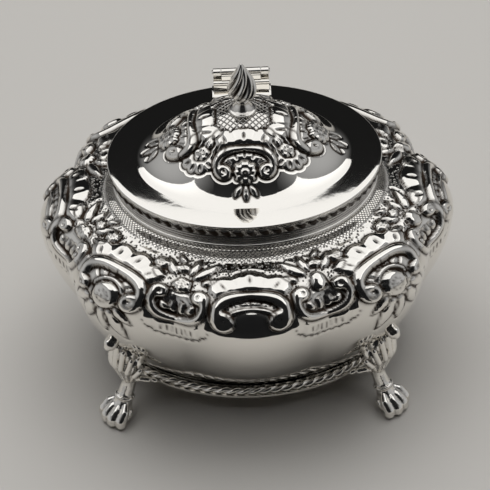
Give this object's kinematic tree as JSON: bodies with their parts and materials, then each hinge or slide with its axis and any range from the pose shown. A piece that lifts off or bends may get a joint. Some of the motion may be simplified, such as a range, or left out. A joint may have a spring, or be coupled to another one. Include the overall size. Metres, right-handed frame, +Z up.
{
  "type": "hinged oval silver sugar bowl",
  "caption": "Oval chased silver sugar bowl with lobed sides, a hinged domed lid with a twisted bud finial, a roped foot ring and lion-paw feet.",
  "frame": {"origin": "on the table, under the middle of the bowl", "axes": "+X to the bowl's right, +Y to the back where the hinge is, +Z up"},
  "size_m": [0.13, 0.111, 0.1108],
  "materials": {
    "chased_silver": "polished, chased sterling silver",
    "polished_silver": "polished sterling silver",
    "wire_silver": "drawn silver wire with tarnish in its grooves",
    "cast_silver": "cast silver, polished on its high parts"
  },
  "bodies": {
    "bowl": {"body_shell": "chased_silver", "base_plate": "polished_silver", "base_rim": "wire_silver", "base_cable": "wire_silver", "neck_wire": "wire_silver", "mouth_moulding": "wire_silver", "foot_front_left": "cast_silver", "foot_front_right": "cast_silver", "foot_back_left": "cast_silver", "foot_back_right": "cast_silver", "hinge_body_leaf": "polished_silver", "hinge_knuckle_left": "polished_silver", "hinge_knuckle_right": "polished_silver", "hinge_pin": "polished_silver"},
    "lid": {"lid": "chased_silver", "lid_bezel": "polished_silver", "hinge_lid_leaf": "polished_silver", "hinge_knuckle_lid": "polished_silver", "finial_plinth": "cast_silver", "finial_bud": "cast_silver", "finial_stud": "polished_silver", "finial_nut": "polished_silver"}
  },
  "joints": [
    {"name": "lid_hinge", "type": "hinge", "parent": "bowl", "child": "lid", "pos_m": [0, 0.0326, 0.083], "axis": [-1, 0, 0], "range_deg": [0, 100]}
  ]
}
